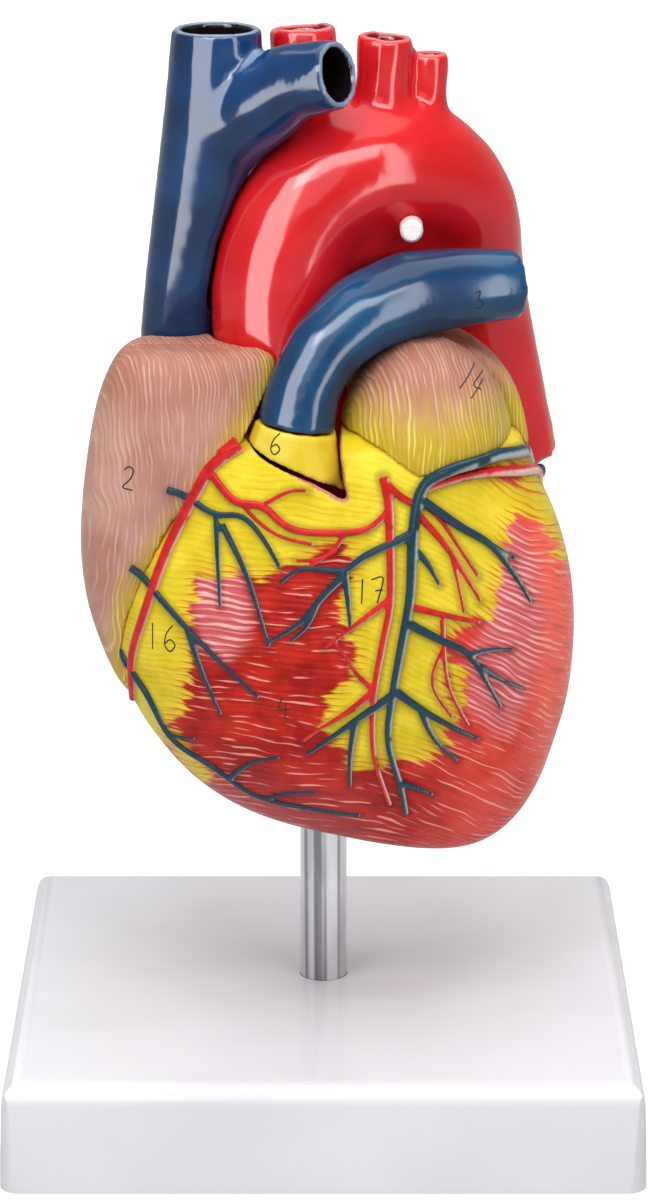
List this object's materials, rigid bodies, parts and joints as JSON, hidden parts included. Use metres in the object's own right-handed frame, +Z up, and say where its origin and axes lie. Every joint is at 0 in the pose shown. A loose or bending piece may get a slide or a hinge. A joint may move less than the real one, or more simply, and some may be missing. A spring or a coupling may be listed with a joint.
{
  "type": "heart anatomy model",
  "caption": "Life-size human heart in two magnet-held halves, with great vessels, chambers and valves, turning on a steel rod over a square white base.",
  "frame": {"origin": "on the table, under the middle of the square base", "axes": "+Z up along the rod, -Y towards the viewer and the removable front cover, +X to the viewer's right"},
  "size_m": [0.12, 0.12, 0.207],
  "materials": {
    "white_abs": "glossy moulded",
    "steel": "polished",
    "zinc_steel": "zinc plated",
    "grey_plastic": "moulded",
    "magnet": "nickel plated",
    "muscle": "hand painted red and yellow, varnished",
    "atrium": "hand painted tan, satin",
    "fat": "hand painted yellow, varnished",
    "artery_red": "hand painted, varnished",
    "vein_blue": "hand painted, varnished",
    "coronary_red": "hand painted, varnished",
    "coronary_blue": "hand painted, varnished",
    "leaflet": "moulded, cream",
    "ligament": "white paint"
  },
  "bodies": {
    "stand": {"base_plate": "white_abs"},
    "post": {"support_rod": "steel", "rod_washer": "zinc_steel", "rod_screw": "zinc_steel"},
    "heart": {"rear_ventricles": "muscle", "rear_right_atrium": "atrium", "left_atrium": "atrium", "rod_socket": "grey_plastic", "rear_magnets": "magnet", "aorta": "artery_red", "aortic_valve": "leaflet", "superior_vena_cava": "vein_blue", "inferior_vena_cava": "vein_blue", "pulmonary_conus": "fat", "pulmonary_trunk": "vein_blue", "pulmonary_valve": "leaflet", "pulmonary_veins": "artery_red", "arterial_ligament": "ligament", "tricuspid_valve": "leaflet", "mitral_valve": "leaflet", "papillary_muscles": "muscle", "rear_coronary_arteries": "coronary_red", "rear_cardiac_veins": "coronary_blue"},
    "cover": {"front_ventricles": "muscle", "right_auricle": "atrium", "left_auricle": "atrium", "front_magnets": "magnet", "front_coronary_arteries": "coronary_red", "front_cardiac_veins": "coronary_blue"}
  },
  "joints": [
    {"name": "post_turn", "type": "hinge", "parent": "stand", "child": "post", "pos_m": [0, 0, 0.02], "axis": [0, 0, 1], "continuous": true},
    {"name": "heart_lift", "type": "slide", "parent": "post", "child": "heart", "axis": [0, 0, 1], "range_m": [0, 0.045]},
    {"name": "cover_pull", "type": "slide", "parent": "heart", "child": "cover", "axis": [0, -1, 0], "range_m": [0, 0.06]}
  ]
}
